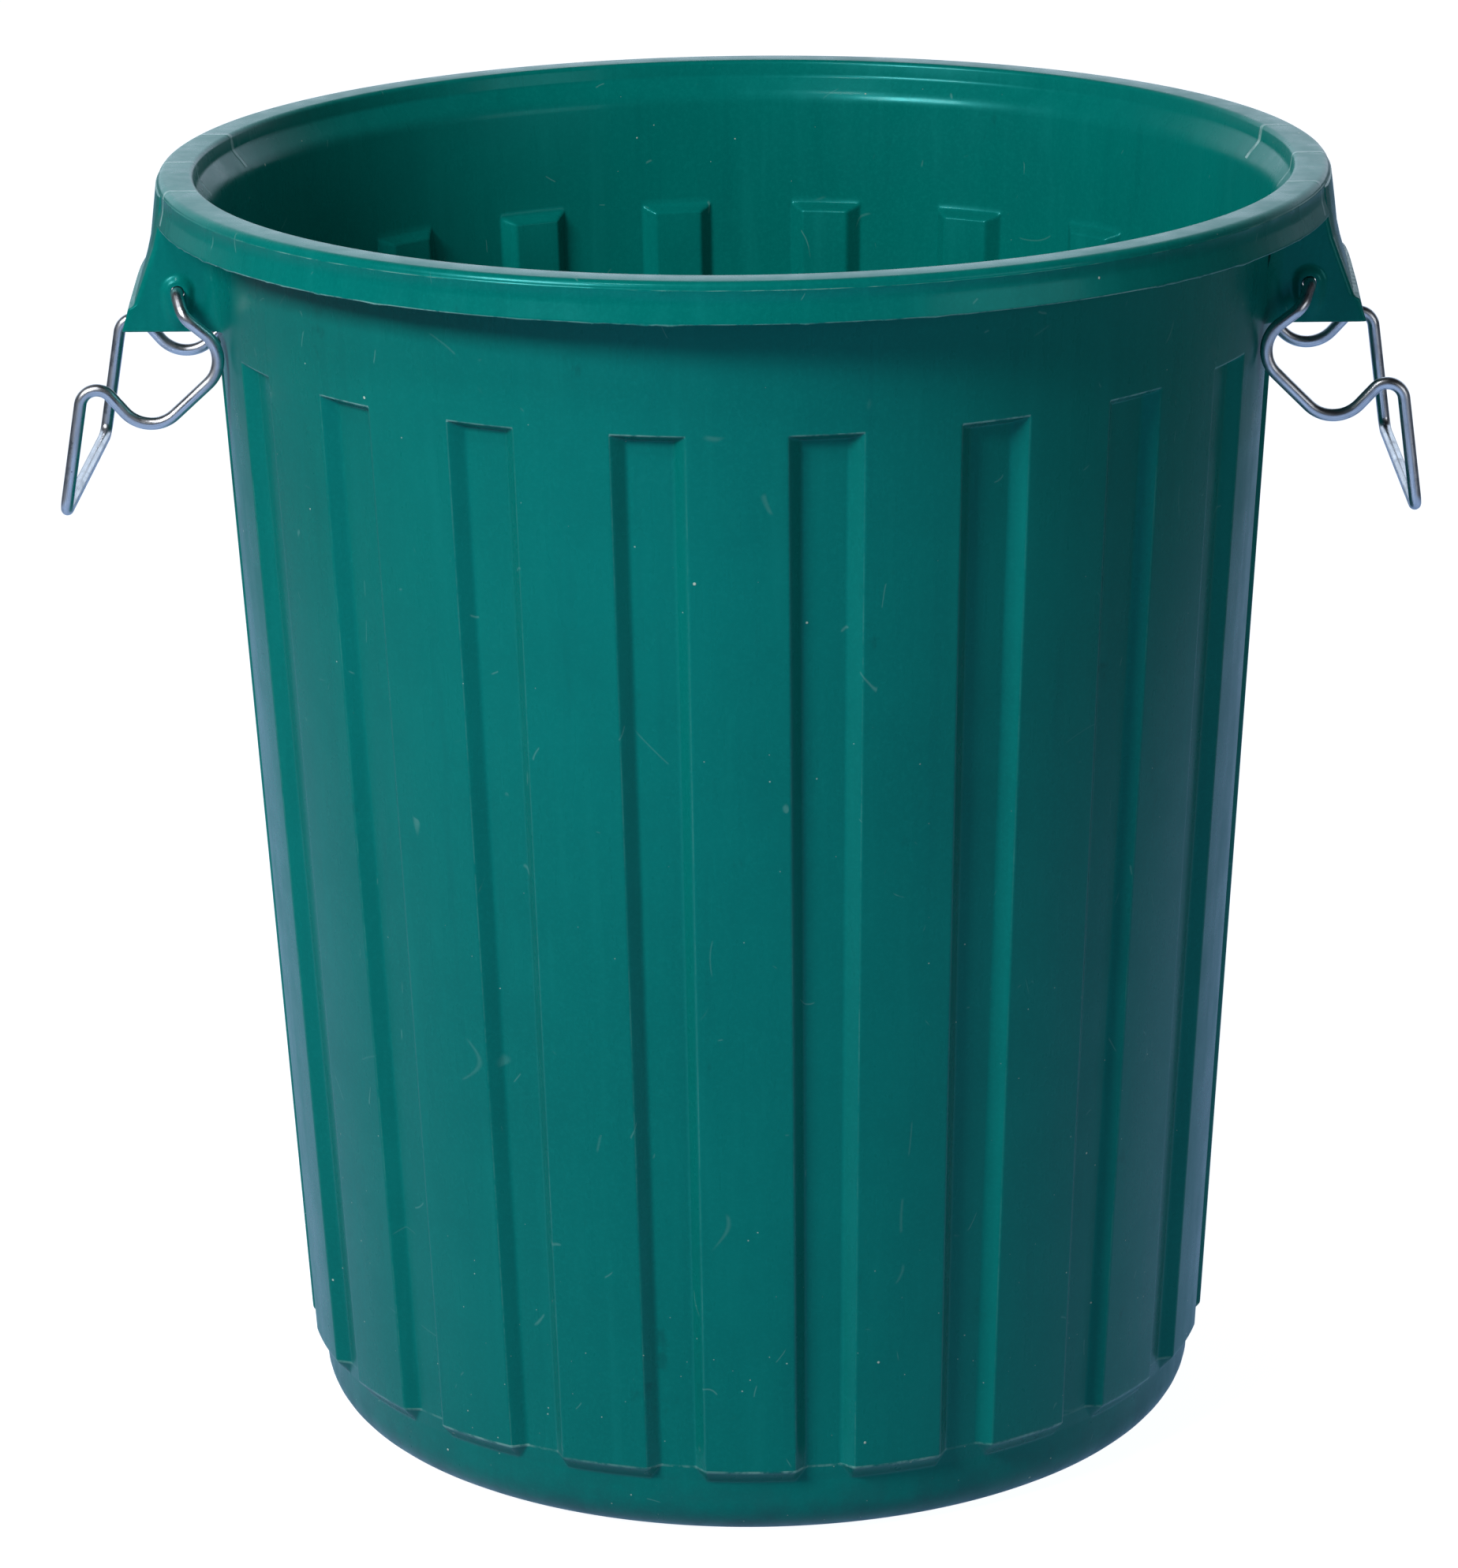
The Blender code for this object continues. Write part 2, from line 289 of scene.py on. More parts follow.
def half_pitch_columns(z, spread, flare):
    """Distances from a flute's centre line at which the tub has a column, out to the panel's middle."""
    mouth, channel = half_widths(z)
    mouth += spread + flare
    channel += spread + flare
    middle = math.pi / FLUTES * tub_radius(z)
    return np.array(
        [0, channel * 0.5]
        + [channel + step for step in (-0.0012, -0.0004, 0.0004, 0.0012)]
        + [(channel + mouth) / 2]
        + [mouth + step for step in (-0.0012, -0.0006, -0.0002, 0.0002, 0.0006, 0.0012)]
        + [mouth + (middle - mouth) * share for share in (0.4, 0.7, 1)]
    )


def fluted_row(z, inside=False):
    """Angles from a flute's centre, radii and edge wear of one row of the fluted wall."""
    spread = RIB_SPREAD if inside else 0
    lift = INSIDE_LIFT if inside else 0
    foot, ring_top, top = PANEL_FOOT + lift, BASE_TOP + lift, PANEL_TOP + lift
    flare = FOOT_FLARE * min(max(foot - z, 0), foot - ring_top)
    across = half_pitch_columns(z, spread, flare)
    lateral = np.concatenate([-across[-2:0:-1], across])
    mouth, channel = half_widths(z)

    side = (np.abs(lateral) - channel - spread - flare) / (mouth - channel)
    bottom = (z - ring_top) / (foot - ring_top)
    ceiling = 1 - (top - z) / FLUTE_END_SLOPE
    raised = smooth_min(side, np.full_like(side, bottom), FLUTE_END_SOFTNESS)
    raised = smooth_max(raised, np.full_like(side, ceiling), FLUTE_END_SOFTNESS)
    raised = smooth_clamp(raised, EDGE_SOFTNESS)
    panel_radius = tub_radius(z)
    if z > foot:
        channel_radius = panel_radius - FLUTE_DEPTH
    else:
        share = max((z - ring_top) / (foot - ring_top), 0)
        channel_radius = BASE_RADIUS + share * (tub_radius(foot) - FLUTE_DEPTH - BASE_RADIUS)
    radii = channel_radius + raised * (panel_radius - channel_radius) - (WALL if inside else 0)

    wear = np.zeros_like(lateral)
    if not inside:
        near_edge = np.abs(np.abs(lateral) - mouth - spread - flare) < 0.0003
        if PANEL_FOOT < z < PANEL_TOP:
            wear[near_edge] = EDGE_WEAR
        if abs(z - PANEL_FOOT) < 0.0005:
            wear = np.where(side > -0.1, 1.0, 0.5)
        if abs(z - PANEL_TOP) < 0.0004:
            wear = np.maximum(wear, np.where(side < 1, 1.0, 0))
    return lateral / panel_radius, radii, wear


def round_row(radius, z):
    """A plain round row, with columns that line up with the fluted ones at the nearest height."""
    level = min(max(z, BASE_TOP), PANEL_TOP)
    across = half_pitch_columns(level, 0, 0)
    lateral = np.concatenate([-across[-2:0:-1], across])
    return lateral / tub_radius(level), np.full_like(lateral, radius), np.zeros_like(lateral)


def rim_profile():
    """The rim's section, (radius, height, bend), from under the step, round the skirt, to the inner wall."""
    underside = HEIGHT - WALL
    return rounded_outline(
        (
            (tub_radius(BAND_FOOT + 0.012), BAND_FOOT + 0.012, 0),
            (STEP_RADII[0], STEP_HEIGHTS[0], 0.004),
            (0.2410, STEP_HEIGHTS[1], 0.003),
            (0.2426, underside, 0.0015),
            (0.2515, underside, 0.001),
            (SKIRT_RADIUS - WALL, SKIRT_EDGE_Z, 0.0006),
            (SKIRT_RADIUS, SKIRT_EDGE_Z, 0.0006),
            (SKIRT_RADIUS - 0.0003, SKIRT_LIP_Z, 0),
            (0.2554, 0.5590, 0.012),
            (0.2550, PARTING_Z - 0.0004, 0),
            (0.2552, PARTING_Z, 0),
            (0.2549, PARTING_Z + 0.0003, 0),
            (0.2545, HEIGHT, 0.0030),
            (0.2396, HEIGHT, 0.0022),
            (0.2386, 0.5606, 0.0040),
            (0.2320, 0.5520, 0.012),
            (tub_radius(0.515) - WALL, 0.515, 0),
        )
    )


def tub_rows():
    """Every row of the tub, as (angles, radii, wear, height), from under the base to the inner floor."""
    rows = []

    def add(row, z):
        rows.append((*row, z))

    for radius in (0.02, 0.08, FOOT_INNER_RADIUS - 0.003):
        add(round_row(radius, FOOT_RECESS), FOOT_RECESS)
    for radius, z in ((FOOT_INNER_RADIUS - 0.0005, 0.0003), (FOOT_INNER_RADIUS + 0.0005, 0), (0.166, 0)):
        add(round_row(radius, z), z)
    fillet = BASE_RADIUS - FOOT_OUTER_RADIUS
    for step in range(11):
        angle = math.radians(90) * step / 10
        z = fillet * (1 - math.cos(angle))
        add(round_row(FOOT_OUTER_RADIUS + fillet * math.sin(angle), z), z)
    low = np.linspace(BASE_TOP - 0.0014, PANEL_FOOT - 0.0004, 13)
    high = np.linspace(PANEL_TOP - FLUTE_END_SLOPE - 0.0008, PANEL_TOP - 0.0003, 11)
    for z in low:
        add(fluted_row(z), z)
    for z in (PANEL_FOOT, PANEL_FOOT + 0.0004, PANEL_FOOT + 0.0010, PANEL_FOOT + 0.003):
        add(fluted_row(z), z)
    for z in np.linspace(PANEL_FOOT + 0.02, PANEL_TOP - 0.02, 8):
        add(fluted_row(z), z)
    for z in (*high, PANEL_TOP, PANEL_TOP + 0.0003, PANEL_TOP + 0.0008, BAND_FOOT):
        add(fluted_row(z), z)

    for radius, z in rim_profile():
        add(round_row(radius, z), z)

    for z in (BAND_FOOT + INSIDE_LIFT, PANEL_TOP + INSIDE_LIFT + 0.0006, *(high[::-2] + INSIDE_LIFT)):
        add(fluted_row(z, inside=True), z)
    for z in np.linspace(PANEL_TOP - 0.02, PANEL_FOOT + 0.02, 6):
        add(fluted_row(z, inside=True), z)
    for z in low[::-2] + INSIDE_LIFT + 0.0006:
        add(fluted_row(z, inside=True), z)
    for step in range(8):
        angle = math.radians(90) * (1 - step / 7)
        z = fillet - (fillet - WALL) * math.cos(angle)
        add(round_row(FOOT_OUTER_RADIUS + (fillet - WALL) * math.sin(angle), z), z)
    for radius, z in ((FOOT_INNER_RADIUS + 0.002, WALL), (FOOT_INNER_RADIUS - 0.001, WALL + FOOT_RECESS)):
        add(round_row(radius, z), z)
    for radius in (0.08, 0.02):
        add(round_row(radius, WALL + FOOT_RECESS), WALL + FOOT_RECESS)
    return rows


def tub_mesh():
    """The tub, with ragged flash under its skirt and an uneven ridge on its parting line."""
    points, wears = [], []
    pitch = 2 * math.pi / FLUTES
    for offsets, radii, wear, z in tub_rows():
        angles = (np.arange(FLUTES)[:, None] + 0.5) * pitch + offsets[None, :]
        angles = angles.ravel()
        radii = np.tile(radii, FLUTES)
        heights = np.full_like(radii, z)
        wear = np.tile(wear, FLUTES)
        on_skirt = (radii > SKIRT_INSIDE) & (z < SKIRT_LIP_Z + 0.0002)
        if on_skirt.any():
            on_edge = on_skirt & (z < SKIRT_EDGE_Z + SKIRT_EDGE_BAND)
            ragged = rough_line(angles, FLASH_SEED)
            steps = np.round(np.clip(ragged * 1.6, 0, 1) * FLASH_STEPS) / FLASH_STEPS
            heights = heights - np.where(on_edge, FLASH_DEPTH * steps, 0)
            radii = radii + np.where(on_skirt & (radii > SKIRT_FACE), 0.0001 * np.clip(ragged, -1, 1), 0)
            wear = np.where(on_edge, 1.0, wear)
        if abs(z - PARTING_Z) < 0.0001:
            ragged = rough_line(angles, PARTING_SEED)
            radii = radii + PARTING_RIDGE * np.clip(ragged, -0.6, 1)
            wear = np.clip(0.5 + 0.8 * ragged, 0, 1)
        points.append(np.stack([radii * np.cos(angles), radii * np.sin(angles), heights], axis=-1))
        wears.append(wear)
    points = np.array(points)
    rows, columns = points.shape[:2]
    index = np.arange(rows * columns).reshape(rows, columns)
    caps = (index[0][::-1].tolist(), index[-1].tolist())
    return grid_mesh("tub", points, False, True, caps, {"edge_wear": np.array(wears)})


# ---------------------------------------------------------------- the lugs


def lug_sections():
    """One lug at +X as (rows, columns, 3). Columns run from the tub round the lug and back to the tub.
    Rows run down its outside, round its lower edge and up its inside."""
    inner_top, outer_top = HEIGHT - 0.0016, PARTING_Z - 0.0006
    down = np.concatenate([np.linspace(1, 0.02, 72), [0.008]])
    rows = [(share, 0.0) for share in down]
    rows += [(0.0025, 0.05), (0.0, 0.22), (0.0, 0.78), (0.0025, 0.95)]
    rows += [(share, 1.0) for share in down[::-5]]

    pivot = PIVOTS["right_handle"]
    points = []
    for share, depth in rows:
        z = LUG_FOOT + share * (outer_top - LUG_FOOT)
        if depth == 1:
            z += max(share - 0.9, 0) * 10 * (inner_top - outer_top)
        middle, side_x = np.interp(z, LUG_HEIGHTS, LUG_MIDDLE_X), np.interp(z, LUG_HEIGHTS, LUG_SIDE_X)
        outer = lug_path(z, middle, side_x, 0)
        inner = lug_path(z, middle, side_x, LUG_WALL)
        path = outer + (inner - outer) * depth
        if depth == 0:
            along = path[:, 0] - pivot.x
            up = z - pivot.z
            reach = np.hypot(along, up if up > 0 else up * BOSS_LEGS)
            on_side = np.abs(np.abs(path[:, 1]) - LUG_HALF_WIDTH) < 0.0006
            boss = BOSS_HEIGHT * smooth_step((BOSS_OUTER - reach) / (BOSS_OUTER - BOSS_INNER))
            path[:, 1] += np.sign(path[:, 1]) * boss * on_side
        points.append(np.column_stack([path, np.full(len(path), z)]))
    return np.array(points)


def lug_path(z, middle, side_x, inset):
    """A lug's outline at one height, in X and Y, from the tub at -Y round to the tub at +Y."""
    half_width = LUG_HALF_WIDTH - inset
    wall = tub_radius(z) if z < STEP_HEIGHTS[0] else np.interp(z, STEP_HEIGHTS, STEP_RADII)
    above_notch = smooth_step((z - NOTCH_Z) / LUG_BLEND)
    corner = LUG_CORNER_BELOW_NOTCH + above_notch * (LUG_CORNER_ABOVE_NOTCH - LUG_CORNER_BELOW_NOTCH)
    centre_x = math.sqrt((wall + LUG_FILLET) ** 2 - (LUG_HALF_WIDTH + LUG_FILLET) ** 2)
    start = math.atan2(LUG_HALF_WIDTH + LUG_FILLET, centre_x)
    path = [((wall - 0.0012) * np.array([math.cos(start + 0.01), math.sin(start + 0.01)]))]
    for step in range(LUG_FILLET_STEPS + 1):
        angle = (math.pi + start) + (math.pi * 1.5 - math.pi - start) * step / LUG_FILLET_STEPS
        path.append((centre_x + LUG_FILLET * math.cos(angle),
                     LUG_HALF_WIDTH + LUG_FILLET + LUG_FILLET * math.sin(angle)))
    corner_x = side_x - inset - corner
    for share in np.linspace(0, 1, 34)[1:]:
        path.append((centre_x + share * (corner_x - centre_x), LUG_HALF_WIDTH))
    for step in range(1, 7):
        angle = math.radians(90) * (1 - step / 6)
        path.append((corner_x + corner * math.cos(angle),
                     LUG_HALF_WIDTH - corner + corner * math.sin(angle)))
    path = np.array(path)
    path[:, 1] -= inset
    if inset:
        fillet = slice(LUG_FILLET_STEPS + 2)
        path[fillet, 0] = np.minimum(path[fillet, 0], centre_x)
    across = np.linspace(half_width - corner, 0, 15)[1:]
    share = (across / half_width) ** 2
    front = np.column_stack([side_x + (middle - side_x) * (1 - share) - inset, across])
    half = np.vstack([path, front])
    pad_top = PAD_TOP_MIDDLE + (PAD_TOP_SIDE - PAD_TOP_MIDDLE) * (half[:, 1] / half_width) ** 2
    on_front = smooth_step((half[:, 0] - corner_x) / corner)
    if not inset:
        half[:, 0] += PAD_RAISE * smooth_step((pad_top - z) / LUG_BLEND) * on_front
    return np.vstack([half * (1, -1), half[-2::-1]])


def lug_mesh(side):
    points = lug_sections()
    if side < 0:
        points = points * (-1, -1, 1)
    rows, columns = points.shape[:2]
    index = np.arange(rows * columns).reshape(rows, columns)
    caps = (index[:, 0].tolist(), index[::-1, -1].tolist())
    wear = np.zeros((rows, columns))
    wear[points[:, 0, 2] < LUG_FOOT + 0.0006] = 0.5
    return grid_mesh("lug", points, True, False, caps, {"edge_wear": wear})


# ---------------------------------------------------------------- the handles


def rounded_corner(before, corner, after, radius):
    """Points of the arc that rounds a corner of a wire."""
    back = (before - corner).normalized()
    ahead = (after - corner).normalized()
    turn = math.pi - back.angle(ahead)
    centre = corner + (back + ahead).normalized() * radius / math.cos(turn / 2)
    start = corner + back * radius * math.tan(turn / 2) - centre
    axis = back.cross(ahead).normalized()
    steps = max(3, math.ceil(turn / BEND_STEP))
    return [centre + Matrix.Rotation(-turn * step / steps, 3, axis) @ start for step in range(steps + 1)]


def handle_path(side):
    """The wire's centre line from one turned-in end to the other, from the pivot."""
    half = [(Vector((0, -PIN_END_Y, 0)), 0), (Vector((0, -PIN_BEND_Y, 0)), PIN_BEND)]
    for x, z, radius in (*ARM_CORNERS, (GRIP_X, GRIP_Z, GRIP_BEND)):
        out = x * math.cos(HANG[side]) - z * math.sin(HANG[side])
        up = x * math.sin(HANG[side]) + z * math.cos(HANG[side])
        half.append((Vector((side * out, -ARM_Y, up)), radius))
    route = half + [(Vector((p.x, -p.y, p.z)), radius) for p, radius in reversed(half)]
    points = [route[0][0]]
    for (before, _), (corner, radius), (after, _) in zip(route, route[1:], route[2:]):
        points += rounded_corner(before, corner, after, radius)
    points.append(route[-1][0])
    return points


def wire_mesh(name, centre_line, origin):
    """A round wire swept along its centre line, with chamfered cut ends and a UV map along its length."""
    line = [centre_line[0]]
    for point in centre_line[1:]:
        gap = (point - line[-1]).length
        if gap < 1e-6:
            continue
        pieces = max(1, round(gap / WIRE_SPACING))
        line += [line[-1].lerp(point, (k + 1) / pieces) for k in range(pieces)]
    tangents = []
    for k in range(len(line)):
        ahead = line[min(k + 1, len(line) - 1)] - line[max(k - 1, 0)]
        tangents.append(ahead.normalized())
    normal = tangents[0].orthogonal().normalized()
    rings, lengths = [], [0.0]
    for k, (point, tangent) in enumerate(zip(line, tangents)):
        normal = (normal - tangent * normal.dot(tangent)).normalized()
        other = tangent.cross(normal)
        if k:
            lengths.append(lengths[-1] + (point - line[k - 1]).length)
        ring = []
        for step in range(WIRE_SIDES):
            angle = 2 * math.pi * step / WIRE_SIDES
            outwards = normal * math.cos(angle) + other * math.sin(angle)
            ring.append(origin + point + outwards * WIRE_RADIUS)
        rings.append(ring)
    for end, tangent, ring in ((0, tangents[0], rings[0]), (-1, -tangents[-1], rings[-1])):
        centre = origin + line[end]
        rings[end] = [centre + (p - centre) * WIRE_END for p in ring]
        shifted = [p + tangent * WIRE_RADIUS * WIRE_CHAMFER for p in ring]
        rings.insert(1 if end == 0 else len(rings) - 1, shifted)
        lengths.insert(1 if end == 0 else len(lengths) - 1, lengths[end])
    points = np.array([[tuple(p) for p in ring] for ring in rings])
    rows, columns = points.shape[:2]
    index = np.arange(rows * columns).reshape(rows, columns)
    caps = (index[0][::-1].tolist(), index[-1].tolist())
    data = grid_mesh(name, points, False, True, caps)
    layer = data.uv_layers.new(name="along")
    for face in data.polygons:
        around = [v % WIRE_SIDES for v in face.vertices]
        wraps = len(around) == 4 and max(around) - min(around) > 1
        for corner, spot in zip(face.loop_indices, face.vertices):
            turn = spot % WIRE_SIDES
            turn += WIRE_SIDES if wraps and turn == 0 else 0
            layer.data[corner].uv = (lengths[spot // WIRE_SIDES], turn / WIRE_SIDES)
    return data


# ---------------------------------------------------------------- materials


class Graph:
    """Short names for a material's nodes. A value is a socket or a number."""

    def __init__(self, name):
        self.material = bpy.data.materials.new(name)
        self.material.use_nodes = True
        self.tree = self.material.node_tree
        self.shader = self.tree.nodes["Principled BSDF"]

    def put(self, socket, value):
        if isinstance(value, bpy.types.NodeSocket):
            self.tree.links.new(value, socket)
        else:
            socket.default_value = value

    def node(self, kind, inputs=(), **settings):
        made = self.tree.nodes.new(kind)
        for label, value in settings.items():
            setattr(made, label, value)
        for label, value in dict(inputs).items():
            self.put(made.inputs[label], value)
        return made

    def place(self):
        return self.node("ShaderNodeTexCoord").outputs["Object"]

    def split(self, vector):
        return self.node("ShaderNodeSeparateXYZ", {0: vector}).outputs

    def stretch(self, vector, scale):
        return self.node("ShaderNodeMapping", {"Vector": vector, "Scale": scale}).outputs[0]

    def noise(self, vector, scale, detail=2.0, roughness=0.5):
        inputs = {"Vector": vector, "Scale": scale, "Detail": detail, "Roughness": roughness}
        return self.node("ShaderNodeTexNoise", inputs).outputs["Fac"]

    def sums(self, operation, a, b=0.0, clamp=False):
        """Any of the math node's operations on one or two values."""
        return self.node("ShaderNodeMath", {0: a, 1: b}, operation=operation, use_clamp=clamp).outputs[0]

    def times(self, *values):
        total = values[0]
        for value in values[1:]:
            total = self.sums("MULTIPLY", total, value)
        return total

    def fade(self, value, low, high, start=0.0, end=1.0):
        """Runs smoothly from start to end as value runs from low to high."""
        ends = {"Value": value, "From Min": low, "From Max": high, "To Min": start, "To Max": end}
        return self.node("ShaderNodeMapRange", ends, interpolation_type="SMOOTHSTEP").outputs["Result"]

    def tint(self, share, colour, other):
        """A mix that goes from colour to other as share goes from 0 to 1."""
        made = self.node("ShaderNodeMix", {0: share}, data_type="RGBA")
        self.put(made.inputs[6], colour)
        self.put(made.inputs[7], other)
        return made.outputs[2]

    def specks(self, vector, scale, size, kept):
        """Small round dots at random places: kept is the share of the cells that have one."""
        cells = self.node("ShaderNodeTexVoronoi", {"Vector": vector, "Scale": scale})
        luck = self.split(cells.outputs["Color"])
        near = self.sums("SUBTRACT", self.times(luck[1], size), cells.outputs["Distance"])
        dot = self.sums("MULTIPLY", near, 1 / (0.3 * size), clamp=True)
        return self.times(dot, self.sums("LESS_THAN", luck[0], kept))

    def scratches(self, vector, scale, width, shown):
        """Thin curved lines, broken up so that only short lengths are left."""
        level = self.noise(vector, scale, 0.0)
        off_line = self.sums("ABSOLUTE", self.sums("SUBTRACT", level, 0.5))
        line = self.fade(off_line, width * scale, 0.0)
        return self.times(line, self.fade(self.noise(vector, scale * 2.1, 1.0), shown, shown + 0.03))


def shell_plastic():
    """Moulded teal polyethylene: mottled, faintly streaked, rubbed on its edges, specked near the foot."""
    g = Graph("satin teal polyethylene")
    place = g.place()
    x, y, z = g.split(place)
    broad = g.noise(place, 5.0, 3.0)
    cloud = g.noise(place, 34.0, 4.0, 0.6)
    grain = g.noise(place, 620.0, 3.0, 0.7)
    streak = g.noise(g.stretch(place, (1.0, 1.0, 0.05)), 95.0, 3.0, 0.6)

    shade = g.tint(g.fade(broad, 0.3, 0.7), TEAL_DEEP, TEAL)
    shade = g.tint(g.fade(cloud, 0.35, 0.75, 0.0, 0.30), shade, TEAL_CLOUD)
    shade = g.tint(g.fade(grain, 0.42, 0.72, 0.0, 0.40), shade, TEAL_GRAIN)
    shade = g.tint(g.fade(streak, 0.52, 0.80, 0.0, 0.32), shade, TEAL_STREAK)
    shade = g.tint(g.fade(streak, 0.46, 0.24, 0.0, 0.25), shade, TEAL_SHADED)

    # Darker, mottled teal towards the bottom: it fades in below 4 cm from the floor and is strongest at the
    # floor
    low = g.fade(z, 0.040, 0.004)
    darker_low = g.times(low, g.fade(g.noise(place, 60.0, 4.0, 0.65), 0.34, 0.68, 0.12, 0.60))
    shade = g.tint(darker_low, shade, TEAL_DARKER_LOW)
    dirt = g.times(g.fade(g.noise(g.stretch(place, (1, 1, 0.4)), 42.0, 5.0, 0.7), 0.62, 0.75),
                   g.fade(g.noise(place, 150.0, 2.0), 0.45, 0.60, 0.0, 0.5))
    shade = g.tint(dirt, shade, DIRT)

    reach = g.sums("ABSOLUTE", x)
    across = g.sums("ABSOLUTE", y)
    off_side_line = g.sums("ABSOLUTE", g.sums("SUBTRACT", across, WITNESS_Y))
    side_line = g.fade(off_side_line, *WITNESS_EDGES)
    middle_line = g.fade(across, *WITNESS_EDGES)
    on_rim = g.times(g.sums("GREATER_THAN", reach, WITNESS_REACH), g.sums("GREATER_THAN", z, WITNESS_Z))
    seams = g.times(g.sums("MAXIMUM", side_line, middle_line), on_rim,
                    g.fade(g.noise(place, 160.0), 0.30, 0.60, 0.4, 1.0))

    worn = g.node("ShaderNodeAttribute", attribute_name="edge_wear").outputs["Fac"]
    ragged = g.fade(g.noise(place, 130.0, 4.0, 0.7), 0.34, 0.58)
    chipped = g.fade(g.noise(place, 19.0, 2.0), 0.44, 0.62)
    rub = g.times(g.fade(worn, 0.20, 0.80), ragged, g.sums("ADD", 0.35, g.times(chipped, 0.65)))
    bare = g.times(g.fade(worn, 0.75, 1.0), ragged, g.fade(chipped, 0.0, 1.0, 0.55, 1.0))
    rub = g.sums("MAXIMUM", rub, bare)
    marks = g.scratches(place, 15.0, 0.00034, 0.65)
    hairs = g.scratches(g.stretch(place, (1.0, 1.3, 0.7)), 41.0, 0.00026, 0.67)
    lines = g.sums("MAXIMUM", g.times(marks, 0.11), g.times(hairs, 0.22))
    near_foot = g.fade(z, 0.20, 0.02)
    chips = g.specks(place, 110.0, 0.085, g.sums("ADD", 0.07, g.times(near_foot, 0.60)))
    dust = g.specks(place, 260.0, 0.11, g.sums("ADD", 0.05, g.times(near_foot, 0.40)))
    pale = g.sums("MAXIMUM", g.times(rub, 0.75), lines)
    shade = g.tint(pale, shade, RUBBED)
    shade = g.tint(g.times(seams, 0.7), shade, WITNESS)
    shade = g.tint(g.sums("MAXIMUM", chips, g.times(dust, 0.7)), shade, CHIPPED)
    g.put(g.shader.inputs["Base Color"], shade)

    rough = g.fade(cloud, 0.3, 0.7, 0.25, 0.33)
    rough = g.sums("ADD", rough, g.fade(streak, 0.3, 0.7, -0.03, 0.04))
    rough = g.sums("ADD", rough, g.times(g.sums("MAXIMUM", pale, darker_low), 0.16))
    g.put(g.shader.inputs["Roughness"], rough)
    g.shader.inputs["IOR"].default_value = 1.5
    g.shader.inputs["Specular IOR Level"].default_value = 0.36
    g.shader.inputs["Coat Weight"].default_value = 0.06
    g.shader.inputs["Coat Roughness"].default_value = 0.13
    g.shader.inputs["Specular Tint"].default_value = TEAL_GLOSS

    height = g.times(g.noise(place, 26.0, 2.0), 0.00035)
    drawn_out = g.noise(g.stretch(place, (1.0, 1.0, 0.12)), 70.0)
    height = g.sums("ADD", height, g.times(drawn_out, 0.00010))
    height = g.sums("ADD", height, g.times(g.noise(place, 900.0, 2.0), 0.000012))
    height = g.sums("SUBTRACT", height, g.times(lines, 0.00006))
    height = g.sums("ADD", height, g.times(g.sums("MAXIMUM", seams, g.times(chips, 0.5)), 0.00060))
    bump = g.node("ShaderNodeBump", {"Height": height, "Strength": 0.55, "Distance": 1.0})
    g.put(g.shader.inputs["Normal"], bump.outputs[0])
    return g.material


def handle_wire():
    """Drawn steel wire, zinc-plated: streaked along its length, dulled in patches and nicked."""
    g = Graph("zinc-plated wire")
    place = g.place()
    along, turn, _ = g.split(g.node("ShaderNodeUVMap", uv_map="along").outputs[0])
    angle = g.times(turn, 2 * math.pi)
    ends = {0: g.times(along, 14.0), 1: g.times(g.sums("COSINE", angle), 3.0),
            2: g.times(g.sums("SINE", angle), 3.0)}
    drawn = g.node("ShaderNodeCombineXYZ", ends).outputs[0]
    streak = g.noise(drawn, 2.4, 4.0, 0.65)
    fine = g.noise(drawn, 9.0, 3.0, 0.6)
    patch = g.noise(place, 85.0, 4.0, 0.65)
    blotch = g.noise(place, 24.0, 2.0)

    shade = g.tint(g.fade(streak, 0.32, 0.68), STEEL_DARK, STEEL)
    shade = g.tint(g.fade(fine, 0.50, 0.74, 0.0, 0.55), shade, STEEL_BRIGHT)
    dull = g.fade(patch, 0.54, 0.70, 0.0, 0.55)
    shade = g.tint(dull, shade, STEEL_DULL)
    shade = g.tint(g.fade(blotch, 0.52, 0.72, 0.0, 0.5), shade, STEEL_BLOTCH)
    nicks = g.specks(place, 210.0, 0.13, 0.16)
    shade = g.tint(g.times(nicks, 0.85), shade, STEEL_NICK)
    g.put(g.shader.inputs["Base Color"], shade)
    g.shader.inputs["Metallic"].default_value = 1.0

    rough = g.fade(patch, 0.35, 0.68, 0.25, 0.40)
    rough = g.sums("ADD", rough, g.fade(fine, 0.3, 0.7, 0.05, -0.05))
    g.put(g.shader.inputs["Roughness"], rough)

    height = g.times(fine, 0.00001)
    height = g.sums("ADD", height, g.times(g.noise(place, 300.0, 2.0), 0.00002))
    height = g.sums("SUBTRACT", height, g.times(nicks, 0.00006))
    bump = g.node("ShaderNodeBump", {"Height": height, "Strength": 0.6, "Distance": 1.0})
    g.put(g.shader.inputs["Normal"], bump.outputs[0])
    return g.material


